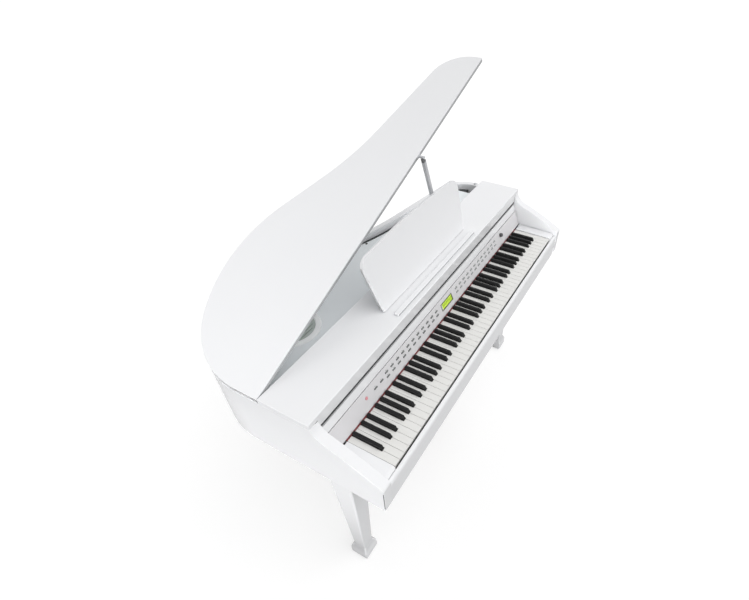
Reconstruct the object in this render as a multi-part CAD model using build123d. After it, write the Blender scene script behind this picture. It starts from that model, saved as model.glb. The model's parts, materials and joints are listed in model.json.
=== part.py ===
"""Digital mini grand piano: white cabinet on three tapered legs, all sizes in millimetres."""

import os
from math import atan2, cos, degrees, hypot, radians, sin, tan

from build123d import *

os.makedirs("parts", exist_ok=True)

# Cabinet: +X to the player's right, +Y from the player to the tail, +Z up, floor at zero
CASE_WIDTH = 1388.0
CASE_DEPTH = 754.0
KEY_TOP = 715.0
CASE_TOP = KEY_TOP + 143.0
CASE_BOTTOM = KEY_TOP - 95.0
FRONT = -CASE_DEPTH / 2
KEY_FRONT = FRONT + 20.0
HALF = CASE_WIDTH / 2
SEAT_GAP = 0.3

# Boards of the cabinet
SIDE_THICK = 24.0
ARM_THICK = 34.0
BOARD_THICK = 18.0
KEYBED_THICK = 18.0
BOARD_FRONT = KEY_FRONT + 188.0
BOARD_REAR = KEY_FRONT + 355.0
SIDE_END = KEY_FRONT + 380.0
RIM_TOP = CASE_TOP - BOARD_THICK
KEYBED_TOP = CASE_BOTTOM + KEYBED_THICK
ARM_INNER = HALF - ARM_THICK
SIDE_INNER = HALF - SIDE_THICK

# Plan curve of the tail: round bass corner, tail, hollow waist, round treble corner
BASS_RADIUS = 271.0
BASS_HEADING = 27.0
TAIL_RADIUS = 495.0
FLANK_HEADING = -24.0
FLANK_LENGTH = 162.0
WAIST_RADIUS = 942.0
TREBLE_HEADING = -8.6
TREBLE_RADIUS = 124.0

# Arm profile seen from the side
ARM_FRONT_TOP = KEY_TOP + 10.0
ARM_REAR_TOP = KEY_TOP + 86.0
ARM_REAR_Y = KEY_FRONT + 148.0
ARM_FRONT_SLOPE = 0.55
ARM_REAR_SLOPE = 0.36
ARM_ROUND = 9.0

# Keyboard
WHITE_COUNT = 52
KEY_BLOCK_WIDTH = 46.4
KEYBOARD_HALF = ARM_INNER - KEY_BLOCK_WIDTH
KEY_PITCH = 2 * KEYBOARD_HALF / WHITE_COUNT
KEY_GAP = 1.0
WHITE_LENGTH = 150.0
WHITE_HEAD = 51.0
KEY_THICK = 18.0
KEY_BACK = 245.0
BLACK_WIDTH = 10.6
BLACK_CLEAR = 1.55
BLACK_SLOT = BLACK_WIDTH + 2 * BLACK_CLEAR
BLACK_RISE = 12.0
BLACK_FRONT_SLOPE = 6.0
KEY_PIVOT_Y = KEY_FRONT + 241.0
KEY_BLOCK_END = WHITE_LENGTH - 1.0
KEY_BLOCK_GAP = 1.5

# Key slip and key blocks around the keyboard
SLIP_BACK = KEY_FRONT - 6.0
SLIP_FRONT = FRONT + 2.0
SLIP_TOP = KEY_TOP - 6.0
SLIP_BREAK = KEY_TOP - 34.0
SLIP_FLAT = 3.0
BLOCK_FRONT_Y = SLIP_BACK + 0.5
BLOCK_NOSE = KEY_TOP - 3.0
BLOCK_SHOULDER = (KEY_FRONT + 2.0, KEY_TOP + 3.0)
BLOCK_REAR_TOP = KEY_TOP + 4.0

# Sloped control panel between the arms
PANEL_FOOT = (KEY_FRONT + 153.5, KEY_TOP + 5.0)
PANEL_HEAD = (KEY_FRONT + 176.5, KEY_TOP + 61.5)
PANEL_THICK = 4.0
PANEL_HALF = ARM_INNER - SEAT_GAP
BOARD_SETBACK = 8.0
BUTTON_SIZE = (15.0, 5.0)
BUTTON_RISE = 1.6
BUTTON_CLEAR = 0.4
BUTTON_ROWS = (27.0, 42.5)
LEFT_BUTTON_X = -72.0
LEFT_BUTTON_COUNT = 11
RIGHT_BUTTON_X = 77.0
RIGHT_BUTTON_COUNT = 12
KNOB_X = ARM_INNER - 182.0
KNOB_MARGIN = 60.0
BUTTON_PITCH = (KNOB_X - KNOB_MARGIN - RIGHT_BUTTON_X) / (RIGHT_BUTTON_COUNT - 1)
MODE_BUTTON_X = LEFT_BUTTON_X - LEFT_BUTTON_COUNT * BUTTON_PITCH
MODE_BUTTON_UP = 35.0
MODE_BUTTON_COUNT = 2
SCREEN_X = 3.0
SCREEN_UP = 32.5
SCREEN_SIZE = (70.0, 23.0)
POWER_X = -ARM_INNER + 170.0
POWER_UP = 37.0
POWER_RADIUS = 5.0
KNOB_UP = 40.0
KNOB_RADIUS = 8.0
KNOB_HEIGHT = 10.0
KNOB_STEM = 3.0
PANEL_POST_X = 56.0
PANEL_POST_UP = 50.0

# Sliding key cover
COVER_NOSE_Y = KEY_FRONT + 178.0
NOSE_TOP = KEY_TOP + 93.8
NOSE_HEIGHT = 30.8
NOSE_LEAN = 8.5
NOSE_LIP = 1.5
NOSE_THICK = 13.0
NOSE_SHOULDER = 9.0
COVER_LENGTH = 225.0
COVER_THICK = 10.0
RAIL_DEPTH = 10.0
RAIL_WALL = 5.0
RAIL_STOP = 22.0
COVER_PLAY = 0.6
FASCIA_SLOT = 4.2

# Music desk
DESK_X = 19.0
DESK_HALF = 273.0
DESK_HEIGHT = 186.0
DESK_FLARE = 27.0
DESK_CROWN = 13.0
DESK_CORNER = 34.0
DESK_THICK = 12.0
DESK_LEAN = 17.0
DESK_Y = KEY_FRONT + 249.0
DESK_LIFT = 3.0
DESK_AXIS_UP = 8.5
DESK_AXIS_BACK = 26.0
DESK_PIN = 3.0
DESK_LUG_RADIUS = 6.0
DESK_LUG_WIDTH = 6.0
HINGE_BLOCK_X = 190.0
HINGE_BLOCK = (40.0, 12.0, 17.0)
LEDGE_Y = KEY_FRONT + 204.0
LEDGE_DEPTH = 18.0
LEDGE_HEIGHT = 8.0

# Lid, its hinge and its prop
LID_THICK = 14.0
LID_INSET = 5.0
LID_GAP = 4.0
LID_FRONT = BOARD_REAR + 3.0
LID_OPEN = 20.8
HINGE_X = -HALF + 12.6
HINGE_Z = RIM_TOP + LID_GAP / 2
HINGE_LENGTH = 100.0
HINGE_START = LID_FRONT + 6.0
KNUCKLES = 5
KNUCKLE_RADIUS = 1.85
HINGE_PIN_RADIUS = 1.0
RUNNING_CLEARANCE = 0.06
PROP_PIVOT = (281.0, RIM_TOP - 7.0)
PROP_WIDTH = 13.0
PROP_THICK = 11.0
PROP_FRONT = LID_FRONT - 21.0
PROP_CAP = 12.0
PROP_PIN_RADIUS = 3.0
PEG_X = 206.0
PEG_RADIUS = 4.0
NOTCH_DEPTH = 22.0
NOTCH_CLEAR = 8.0

# Sound deck and speakers
DECK_TOP = KEY_TOP + 102.0
DECK_THICK = 12.0
DECK_FRONT = KEY_FRONT + 384.0
DECK_SHADOW_GAP = 13.0
DECK_TREBLE_END = 636.0
LEDGER_WIDTH = 34.0
LEDGER_THICK = 14.0
LEFT_SPEAKER_X = -HALF + 283.0
RIGHT_SPEAKER_X = 90.0
LEFT_RING = 89.0
RIGHT_RING = 46.0
SPEAKER_MARGIN = 17.0
SPEAKER_HOLE = 0.7
SPEAKER_MOUTH = 0.78
SPEAKER_FLANGE = 0.82
SPEAKER_THROAT = 0.68

# Legs, feet and pedal lyre
LEG_TOP = 82.0
LEG_BOTTOM = 48.0
FOOT_SIZE = 70.0
FOOT_HEIGHT = 34.0
FOOT_FLARE = 24.0
GLIDE_HEIGHT = 4.0
LEG_PLATE = 118.0
LEG_PLATE_THICK = 6.0
FRONT_LEG = (HALF - 66.0, KEY_FRONT + 164.0)
REAR_LEG = (-300.0, CASE_DEPTH / 2 - 144.0)
POST_X = 62.0
POST_RADII = (19.0, 14.0, 17.0, 13.0, 22.0)
PEDAL_SPACING = 72.0
PEDAL_TIP_Y = KEY_FRONT + 206.0
PEDAL_PIN_Y = KEY_FRONT + 318.0
PEDAL_Z = 74.0
LYRE_BOX = (250.0, 62.0, 54.0)
LYRE_BOX_Y = KEY_FRONT + 300.0


def block(x0, x1, y0, y1, z0, z1):
    """Box between two corners."""
    return Pos((x0 + x1) / 2, (y0 + y1) / 2, (z0 + z1) / 2) * Box(x1 - x0, y1 - y0, z1 - z0)


def slab(points, x0, x1):
    """Side profile given as (y, z) points, extruded from x0 to x1."""
    wire = Polyline(*[(x0, y, z) for y, z in points], close=True)
    return extrude(make_face(wire), amount=x1 - x0, dir=(1, 0, 0))


def rod(radius, start, end):
    """Round bar between two points."""
    axis = Vector(*end) - Vector(*start)
    return extrude(Plane(origin=start, z_dir=axis) * Circle(radius), amount=axis.length)


def save(name, *solids):
    """Write one named piece, or a group of like pieces."""
    shape = solids[0] if len(solids) == 1 else Compound(children=list(solids))
    export_step(shape, f"parts/{name}.step")


def mirrored(shape):
    """The same piece on the other side of the keyboard's centre."""
    return mirror(shape, about=Plane.YZ)


# Plan of the whole cabinet: straight sides joined by a chain of tangent arcs around the tail
bass_rise = BASS_RADIUS * cos(radians(BASS_HEADING))
tail_rise = TAIL_RADIUS * (1 - cos(radians(BASS_HEADING)))
bass_start = (-HALF, CASE_DEPTH / 2 - bass_rise - tail_rise)
bass_arc = JernArc(bass_start, (0, 1), BASS_RADIUS, BASS_HEADING - 90)
tail_arc = JernArc(bass_arc @ 1, bass_arc % 1, TAIL_RADIUS, FLANK_HEADING - BASS_HEADING)
flank = Line(tail_arc @ 1, (tail_arc @ 1) + (tail_arc % 1) * FLANK_LENGTH)
waist_arc = JernArc(flank @ 1, flank % 1, WAIST_RADIUS, TREBLE_HEADING - FLANK_HEADING)
corner_run = TREBLE_RADIUS * (1 + sin(radians(TREBLE_HEADING)))
treble_run = (HALF - corner_run - (waist_arc @ 1).X) / cos(radians(TREBLE_HEADING))
treble_line = Line(waist_arc @ 1, (waist_arc @ 1) + (waist_arc % 1) * treble_run)
treble_arc = JernArc(treble_line @ 1, treble_line % 1, TREBLE_RADIUS, -90 - TREBLE_HEADING)
plan_lines = Curve() + [
    Line((-HALF, FRONT), bass_start),
    bass_arc,
    tail_arc,
    flank,
    waist_arc,
    treble_line,
    treble_arc,
    Line(treble_arc @ 1, (HALF, FRONT)),
    Line((HALF, FRONT), (-HALF, FRONT)),
]
case_plan = make_face(plan_lines)


def tail_edge(x):
    """How far back the cabinet's outline reaches at one place along the keyboard."""
    strip = case_plan & Pos(x, 0) * Rectangle(1.0, 4 * CASE_DEPTH)
    return strip.bounding_box().max.Y


def raised(face, z0, z1):
    """Plan shape extruded between two heights."""
    return extrude(Pos(0, 0, z0) * face, amount=z1 - z0, dir=(0, 0, 1))


def cabinet(inset, y0, z0, z1):
    """The cabinet's plan drawn in by an amount, as a slab behind a given depth."""
    face = offset(case_plan, -inset) if inset else case_plan
    return raised(face, z0, z1) & block(-CASE_WIDTH, CASE_WIDTH, y0, CASE_DEPTH, z0, z1)


# Side panels with the arms: slope, then a hollow sweep up to the top board
arm_top = Spline(
    (ARM_REAR_Y, ARM_REAR_TOP),
    (FRONT, ARM_FRONT_TOP),
    tangents=((-1, -ARM_REAR_SLOPE), (-1, -ARM_FRONT_SLOPE)),
)
sweep = Spline(
    (BOARD_FRONT, RIM_TOP),
    (ARM_REAR_Y, ARM_REAR_TOP),
    tangents=((-0.45, -1), (-1, -ARM_REAR_SLOPE)),
)
arm_lines = Curve() + [
    sweep,
    arm_top,
    Line((FRONT, ARM_FRONT_TOP), (FRONT, CASE_BOTTOM)),
    Line((FRONT, CASE_BOTTOM), (BOARD_FRONT, CASE_BOTTOM)),
    Line((BOARD_FRONT, CASE_BOTTOM), (BOARD_FRONT, RIM_TOP)),
]
side_plane = Plane(origin=(-HALF, 0, 0), x_dir=(0, 1, 0), z_dir=(1, 0, 0))
arm = extrude(side_plane * make_face(arm_lines), amount=ARM_THICK)
arm_front_edges = arm.edges().filter_by(Axis.X).group_by(Axis.Y)[0]
arm = fillet(arm_front_edges, ARM_ROUND)
rear_side = block(-HALF, -SIDE_INNER, BOARD_FRONT, SIDE_END, CASE_BOTTOM, RIM_TOP)
left_side = arm + rear_side
save("left_side_panel", left_side)
save("right_side_panel", mirrored(left_side))

# Curved tail rim
rim = cabinet(0, SIDE_END, CASE_BOTTOM, RIM_TOP) - cabinet(SIDE_THICK, SIDE_END - 1, CASE_BOTTOM, RIM_TOP)
save("tail_rim", rim)

# Keybed, the floor of the cabinet, with the hole for the power inlet
INLET_X = -120.0
INLET_Y = KEY_FRONT + 480.0
INLET_SIZE = (34.0, 26.0)
keybed = cabinet(SIDE_THICK + SEAT_GAP, BOARD_FRONT, CASE_BOTTOM, KEYBED_TOP)
keybed += block(
    -ARM_INNER + SEAT_GAP, ARM_INNER - SEAT_GAP,
    SLIP_BACK, BOARD_FRONT, CASE_BOTTOM, KEYBED_TOP,
)
keybed -= block(
    INLET_X - INLET_SIZE[0] / 2, INLET_X + INLET_SIZE[0] / 2,
    INLET_Y - INLET_SIZE[1] / 2, INLET_Y + INLET_SIZE[1] / 2, CASE_BOTTOM - 1, KEYBED_TOP + 1,
)
save("keybed", keybed)

# Key slip in front of the keys, with a rounded upper edge
slip_lines = Curve() + [
    Line((SLIP_BACK, CASE_BOTTOM), (SLIP_BACK, SLIP_TOP)),
    Line((SLIP_BACK, SLIP_TOP), (SLIP_BACK - SLIP_FLAT, SLIP_TOP)),
    Spline(
        (SLIP_BACK - SLIP_FLAT, SLIP_TOP), (SLIP_FRONT, SLIP_BREAK),
        tangents=((-1, -0.15), (0, -1)),
    ),
    Line((SLIP_FRONT, SLIP_BREAK), (SLIP_FRONT, CASE_BOTTOM)),
    Line((SLIP_FRONT, CASE_BOTTOM), (SLIP_BACK, CASE_BOTTOM)),
]
slip_plane = Plane(origin=(-PANEL_HALF, 0, 0), x_dir=(0, 1, 0), z_dir=(1, 0, 0))
save("key_slip", extrude(slip_plane * make_face(slip_lines), amount=2 * PANEL_HALF))

# Key blocks at both ends of the keyboard, just above the white keys
key_block = slab(
    [
        (BLOCK_FRONT_Y, KEYBED_TOP),
        (BLOCK_FRONT_Y, BLOCK_NOSE),
        BLOCK_SHOULDER,
        (KEY_FRONT + KEY_BLOCK_END, BLOCK_REAR_TOP),
        (KEY_FRONT + KEY_BLOCK_END, KEYBED_TOP),
    ],
    -ARM_INNER + SEAT_GAP, -KEYBOARD_HALF - KEY_BLOCK_GAP,
)
save("left_key_block", key_block)
save("right_key_block", mirrored(key_block))

# Fixed top board: front fascia, a stiffening rail below, and a notch in the rear edge for the lid prop
FASCIA_BOTTOM = NOSE_TOP + FASCIA_SLOT
FASCIA_THICK = 14.0
STIFFENER_Y = BOARD_FRONT + 74.0
STIFFENER_THICK = 14.0
STIFFENER_CLEAR = 3.0
cover_half = ARM_INNER - 1.5
cover_bottom = NOSE_TOP - NOSE_HEIGHT
rail_inner = cover_half - RAIL_DEPTH
peg_open = radians(LID_OPEN)
peg_arm = (PEG_X - HINGE_X, CASE_TOP - LID_THICK / 2 - HINGE_Z)
peg_point = (
    HINGE_X + peg_arm[0] * cos(peg_open) - peg_arm[1] * sin(peg_open),
    HINGE_Z + peg_arm[0] * sin(peg_open) + peg_arm[1] * cos(peg_open),
)
prop_length = hypot(peg_point[0] - PROP_PIVOT[0], peg_point[1] - PROP_PIVOT[1])
prop_rise = degrees(atan2(peg_point[1] - PROP_PIVOT[1], PROP_PIVOT[0] - peg_point[0]))
notch_left = PROP_PIVOT[0] - prop_length - NOTCH_CLEAR - PROP_WIDTH / 2
notch_right = PROP_PIVOT[0] + PROP_WIDTH / 2 + NOTCH_CLEAR
top_board = block(-HALF, HALF, BOARD_FRONT, BOARD_REAR, RIM_TOP, CASE_TOP)
top_board = fillet(top_board.edges().filter_by(Axis.X).group_by(Axis.Z)[-1].sort_by(Axis.Y)[0], 3.0)
top_board += block(
    -PANEL_HALF, PANEL_HALF,
    BOARD_FRONT, BOARD_FRONT + FASCIA_THICK, FASCIA_BOTTOM, RIM_TOP,
)
top_board += block(
    -rail_inner + 1, rail_inner - 1, STIFFENER_Y, STIFFENER_Y + STIFFENER_THICK,
    cover_bottom + COVER_THICK + STIFFENER_CLEAR, RIM_TOP,
)
top_board -= block(
    notch_left, notch_right,
    BOARD_REAR - NOTCH_DEPTH, BOARD_REAR + 1, RIM_TOP - 1, CASE_TOP + 1,
)
save("front_top_board", top_board)

# White keys: a wide head and a tail cut around the neighbouring black keys
BLACK_SHIFT = {"C": -2.3, "D": 2.3, "F": -3.4, "G": 0.0, "A": 3.4}
LETTERS = "ABCDEFG"


def black_centre(index):
    """Middle of the black key to the right of a white key, or None where there is none."""
    letter = LETTERS[index % 7]
    if letter not in BLACK_SHIFT or index < 0 or index >= WHITE_COUNT - 1:
        return None
    return -KEYBOARD_HALF + (index + 1) * KEY_PITCH + BLACK_SHIFT[letter]


def white_key(index):
    """One white key with its lever running back under the panel."""
    left = -KEYBOARD_HALF + index * KEY_PITCH + KEY_GAP / 2
    right = left + KEY_PITCH - KEY_GAP
    left_black = black_centre(index - 1)
    right_black = black_centre(index)
    tail_left = left if left_black is None else left_black + BLACK_SLOT / 2
    tail_right = right if right_black is None else right_black - BLACK_SLOT / 2
    neck = KEY_FRONT + WHITE_HEAD
    back = KEY_FRONT + KEY_BACK
    corners = [(left, KEY_FRONT), (right, KEY_FRONT), (right, neck)]
    if tail_right < right:
        corners.append((tail_right, neck))
    corners += [(tail_right, back), (tail_left, back)]
    if tail_left > left:
        corners.append((tail_left, neck))
    corners.append((left, neck))
    face = make_face(Polyline(*corners, close=True))
    return raised(face, KEY_TOP - KEY_THICK, KEY_TOP)


def black_key(index):
    """One black key: sloped front, narrowed top, lever at the back."""
    centre = black_centre(index)
    front = KEY_FRONT + WHITE_HEAD + 1.2
    crown = KEY_FRONT + WHITE_LENGTH - 1.0
    body = slab(
        [
            (front, KEY_TOP - KEY_THICK),
            (front, KEY_TOP + 1),
            (front + BLACK_FRONT_SLOPE, KEY_TOP + BLACK_RISE),
            (crown, KEY_TOP + BLACK_RISE),
            (crown, KEY_TOP - 3),
            (KEY_FRONT + KEY_BACK, KEY_TOP - 3),
            (KEY_FRONT + KEY_BACK, KEY_TOP - KEY_THICK),
        ],
        centre - BLACK_WIDTH / 2, centre + BLACK_WIDTH / 2,
    )
    top_face = body.faces().filter_by(Axis.Z).sort_by(Axis.Z)[-1]
    return chamfer(top_face.edges().filter_by(Axis.Y), 2.4, 0.9)


REGISTERS = {"bass": range(0, 16), "middle": range(16, 37), "treble": range(37, WHITE_COUNT)}
for register, indices in REGISTERS.items():
    save(f"white_keys_{register}", *[white_key(i) for i in indices])
    sharps = [black_key(i) for i in indices if black_centre(i) is not None]
    save(f"black_keys_{register}", *sharps)

# Key frame: stop rail under the key fronts and pivot rail under their backs
STOP_RAIL = (KEY_FRONT + 18.0, KEY_FRONT + 44.0, KEY_TOP - KEY_THICK - 11.0)
PIVOT_RAIL = (KEY_PIVOT_Y - 5.0, KEY_PIVOT_Y + 7.0, KEY_TOP - KEY_THICK - 0.5)
key_frame = block(
    -KEYBOARD_HALF, KEYBOARD_HALF, STOP_RAIL[0], STOP_RAIL[1], KEYBED_TOP, STOP_RAIL[2]
)
key_frame += block(
    -KEYBOARD_HALF, KEYBOARD_HALF, STOP_RAIL[0], PIVOT_RAIL[1], KEYBED_TOP, KEYBED_TOP + 6
)
key_frame += block(
    -KEYBOARD_HALF, KEYBOARD_HALF, PIVOT_RAIL[0], PIVOT_RAIL[1], KEYBED_TOP, PIVOT_RAIL[2]
)
save("key_frame", key_frame)

# Control panel: a sloped sheet with button holes, a screen window and posts for its circuit board
panel_run = PANEL_HEAD[0] - PANEL_FOOT[0]
panel_climb = PANEL_HEAD[1] - PANEL_FOOT[1]
panel_length = hypot(panel_run, panel_climb)
panel_up = Vector(0, panel_run / panel_length, panel_climb / panel_length)
panel_out = Vector(0, -panel_climb / panel_length, panel_run / panel_length)
panel_plane = Plane(origin=(0, *PANEL_FOOT), x_dir=(1, 0, 0), z_dir=panel_out)


def on_panel(x, up, out=0.0):
    """A place on the panel: along the keyboard, up the slope and out from its face."""
    return panel_plane * Pos(x, up, out)


button_spots = {}
for row, up in zip(("lower", "upper"), BUTTON_ROWS):
    button_spots[f"left_{row}_buttons"] = [
        (LEFT_BUTTON_X - n * BUTTON_PITCH, up) for n in range(LEFT_BUTTON_COUNT)
    ]
    button_spots[f"right_{row}_buttons"] = [
        (RIGHT_BUTTON_X + n * BUTTON_PITCH, up) for n in range(RIGHT_BUTTON_COUNT)
    ]
button_spots["left_upper_buttons"] += [
    (MODE_BUTTON_X - n * BUTTON_PITCH, MODE_BUTTON_UP) for n in range(MODE_BUTTON_COUNT)
]

hole_size = (BUTTON_SIZE[0] + 2 * BUTTON_CLEAR, BUTTON_SIZE[1] + 2 * BUTTON_CLEAR)
panel = on_panel(0, panel_length / 2, -PANEL_THICK / 2) * Box(2 * PANEL_HALF, panel_length, PANEL_THICK)
holes = [
    on_panel(x, up) * Box(hole_size[0], hole_size[1], 3 * PANEL_THICK)
    for spots in button_spots.values()
    for x, up in spots
]
holes.append(on_panel(SCREEN_X, SCREEN_UP) * Box(*SCREEN_SIZE, 3 * PANEL_THICK))
holes.append(on_panel(POWER_X, POWER_UP) * Cylinder(POWER_RADIUS + BUTTON_CLEAR, 3 * PANEL_THICK))
holes.append(on_panel(KNOB_X, KNOB_UP) * Cylinder(KNOB_STEM + BUTTON_CLEAR, 3 * PANEL_THICK))
panel -= holes
board_half = -POWER_X + 20.0
post_length = BOARD_SETBACK - PANEL_THICK
for x in (-board_half + 6, -PANEL_POST_X, PANEL_POST_X, board_half - 6):
    post = on_panel(x, PANEL_POST_UP, -PANEL_THICK - post_length / 2) * Box(8, 8, post_length)
    panel += post
save("control_panel", panel)

# Buttons, power button and volume knob, each with a stem towards the circuit board
stem_length = BOARD_SETBACK - 1.3
for name, spots in button_spots.items():
    buttons = [
        on_panel(x, up, (BUTTON_RISE - stem_length) / 2) * Box(*BUTTON_SIZE, BUTTON_RISE + stem_length)
        for x, up in spots
    ]
    save(name, *buttons)
power_height = BUTTON_RISE + stem_length
power = on_panel(POWER_X, POWER_UP, (BUTTON_RISE - stem_length) / 2) * Cylinder(POWER_RADIUS, power_height)
save("power_button", power)
knob_profile = Polyline(
    (0, SEAT_GAP),
    (KNOB_RADIUS, SEAT_GAP),
    (0.9 * KNOB_RADIUS, KNOB_HEIGHT - 1),
    (0.9 * KNOB_RADIUS - 1, KNOB_HEIGHT),
    (0, KNOB_HEIGHT),
    close=True,
)
knob = revolve(Plane.XZ * make_face(knob_profile), Axis.Z)
knob_stem = BOARD_SETBACK - SEAT_GAP
knob += Pos(0, 0, (SEAT_GAP - knob_stem) / 2 + 0.5) * Cylinder(KNOB_STEM, knob_stem + SEAT_GAP)
save("volume_knob", on_panel(KNOB_X, KNOB_UP) * knob)

# Screen: clear window in the panel, display module behind it
window = on_panel(SCREEN_X, SCREEN_UP, -1.5) * Box(SCREEN_SIZE[0] - 0.4, SCREEN_SIZE[1] - 0.4, 2.0)
save("screen_window", window)
module_depth = BOARD_SETBACK - 2.5 - 0.2
module = on_panel(SCREEN_X, SCREEN_UP, -2.5 - module_depth / 2) * Box(
    SCREEN_SIZE[0] - 1.0, SCREEN_SIZE[1] - 1.0, module_depth
)
save("screen_module", module)
circuit = on_panel(0, panel_length / 2, -BOARD_SETBACK - 0.8) * Box(2 * board_half, 46.0, 1.6)
save("panel_circuit_board", circuit)

# Red felt strip between the panel and the keys
felt = block(
    -KEYBOARD_HALF - 1, KEYBOARD_HALF + 1,
    KEY_FRONT + WHITE_LENGTH - 0.5, PANEL_FOOT[0] + 3, KEY_TOP + 0.8, PANEL_FOOT[1] - 1.9,
)
save("felt_strip", felt)

# Sliding key cover with a deep nose, in two channel rails that run back under the sound deck
cover_middle = cover_bottom + COVER_THICK / 2
cover_profile = Polyline(
    (COVER_NOSE_Y, cover_bottom),
    (COVER_NOSE_Y + COVER_LENGTH, cover_bottom),
    (COVER_NOSE_Y + COVER_LENGTH, cover_bottom + COVER_THICK),
    (COVER_NOSE_Y + NOSE_THICK, cover_bottom + COVER_THICK),
    (COVER_NOSE_Y + NOSE_THICK, NOSE_TOP - NOSE_SHOULDER),
    (COVER_NOSE_Y + NOSE_LEAN + NOSE_LIP, NOSE_TOP),
    (COVER_NOSE_Y + NOSE_LEAN, NOSE_TOP),
    close=True,
)
cover_plane = Plane(origin=(-cover_half, 0, 0), x_dir=(0, 1, 0), z_dir=(1, 0, 0))
cover = extrude(cover_plane * make_face(cover_profile), amount=2 * cover_half)
save("key_cover", cover)
rail_front = BOARD_FRONT + FASCIA_THICK + 4.0
rail_back = COVER_NOSE_Y + COVER_LENGTH - RAIL_STOP
channel_half = COVER_THICK / 2 + COVER_PLAY
rail_half = channel_half + RAIL_WALL
rail = block(
    rail_inner, SIDE_INNER - SEAT_GAP, rail_front, rail_back,
    cover_middle - rail_half, cover_middle + rail_half,
)
rail -= block(
    rail_inner - 1, cover_half + COVER_PLAY, rail_front - 1, rail_back + 1,
    cover_middle - channel_half, cover_middle + channel_half,
)
save("cover_rails", rail, mirrored(rail))

# Music desk: a leaning board, flared and crowned, with lugs behind it on two hinge blocks
desk_lean = radians(DESK_LEAN)
desk_plane = Plane(
    origin=(DESK_X, DESK_Y, CASE_TOP), x_dir=(1, 0, 0), z_dir=(0, -cos(desk_lean), sin(desk_lean))
)
desk_axis = (DESK_Y + DESK_AXIS_BACK, CASE_TOP + DESK_AXIS_UP)
top_half = DESK_HALF + DESK_FLARE
desk_lines = Curve() + [
    Line((-DESK_HALF, 0), (DESK_HALF, 0)),
    Line((DESK_HALF, 0), (top_half, DESK_HEIGHT)),
    ThreePointArc((top_half, DESK_HEIGHT), (0, DESK_HEIGHT + DESK_CROWN), (-top_half, DESK_HEIGHT)),
    Line((-top_half, DESK_HEIGHT), (-DESK_HALF, 0)),
]
desk_face = make_face(desk_lines)
desk_face = fillet(desk_face.vertices().group_by(Axis.Y)[-1], DESK_CORNER)
desk = desk_plane * extrude(desk_face, amount=-DESK_THICK)
desk &= block(
    DESK_X - 2 * top_half, DESK_X + 2 * top_half, FRONT, CASE_DEPTH,
    CASE_TOP + DESK_LIFT, CASE_TOP + 2 * DESK_HEIGHT,
)
desk_back = DESK_Y + DESK_THICK / cos(desk_lean) + DESK_AXIS_UP * tan(desk_lean)
hinge_blocks = []
for x in (DESK_X - HINGE_BLOCK_X, DESK_X + HINGE_BLOCK_X):
    reach = HINGE_BLOCK[0] / 2
    foot = block(
        x - reach, x + reach,
        desk_axis[0] - HINGE_BLOCK[1] / 2, desk_axis[0] + HINGE_BLOCK[1] / 2,
        CASE_TOP, CASE_TOP + HINGE_BLOCK[2],
    )
    foot = fillet(foot.edges().filter_by(Axis.X).group_by(Axis.Z)[-1], HINGE_BLOCK[1] / 2 - 1)
    pin_reach = reach + DESK_LUG_WIDTH + 2
    foot += rod(DESK_PIN, (x - pin_reach, *desk_axis), (x + pin_reach, *desk_axis))
    hinge_blocks.append(foot)
    for lug_x in (x - reach - DESK_LUG_WIDTH - 1, x + reach + 1):
        lug = block(
            lug_x, lug_x + DESK_LUG_WIDTH, desk_back - DESK_THICK / 2, desk_axis[0],
            desk_axis[1] - DESK_LUG_RADIUS + 1, desk_axis[1] + DESK_LUG_RADIUS,
        )
        lug += rod(DESK_LUG_RADIUS, (lug_x, *desk_axis), (lug_x + DESK_LUG_WIDTH, *desk_axis))
        lug -= rod(
            DESK_PIN + RUNNING_CLEARANCE,
            (lug_x - 1, *desk_axis), (lug_x + DESK_LUG_WIDTH + 1, *desk_axis),
        )
        desk += lug
save("music_desk", desk)
save("desk_hinge_blocks", *hinge_blocks)
ledge = block(
    DESK_X - DESK_HALF + 6, DESK_X + DESK_HALF - 6,
    LEDGE_Y, LEDGE_Y + LEDGE_DEPTH, CASE_TOP, CASE_TOP + LEDGE_HEIGHT,
)
ledge = fillet(ledge.edges().filter_by(Axis.X).group_by(Axis.Z)[-1], 3.0)
save("music_ledge", ledge)

# Lid: the cabinet's plan drawn in a little, hinged along the bass side and drawn open
lid_axis = Axis((HINGE_X, 0, HINGE_Z), (0, -1, 0))


def opened(shape):
    """Turn a piece drawn on the closed lid to where it is with the lid open."""
    return shape.rotate(lid_axis, LID_OPEN)


lid = cabinet(LID_INSET, LID_FRONT, CASE_TOP - LID_THICK, CASE_TOP)
save("lid", opened(lid))

# Lid hinge: two leaves in the gap above the side panel, with interleaved knuckles
LEAF_WIDTH = 9.0
LEAF_THICK = 1.2
KNUCKLE_GAP = 0.3
knuckle_length = HINGE_LENGTH / KNUCKLES
hinge_end = HINGE_START + HINGE_LENGTH


def knuckles(offset_count):
    """Every second knuckle of the barrel, shortened to clear its neighbours."""
    barrel = []
    for n in range(offset_count, KNUCKLES, 2):
        start = HINGE_START + n * knuckle_length + KNUCKLE_GAP / 2
        end = start + knuckle_length - KNUCKLE_GAP
        barrel.append(rod(KNUCKLE_RADIUS, (HINGE_X, start, HINGE_Z), (HINGE_X, end, HINGE_Z)))
    return barrel


def leaf(z0, z1, offset_count):
    """Hinge leaf with tongues that reach its own knuckles."""
    plate = block(HINGE_X + 2.4, HINGE_X + 2.4 + LEAF_WIDTH, HINGE_START, hinge_end, z0, z1)
    for n in range(offset_count, KNUCKLES, 2):
        start = HINGE_START + n * knuckle_length + KNUCKLE_GAP / 2
        plate += block(HINGE_X, HINGE_X + 3.0, start, start + knuckle_length - KNUCKLE_GAP, z0, z1)
    return plate


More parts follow.
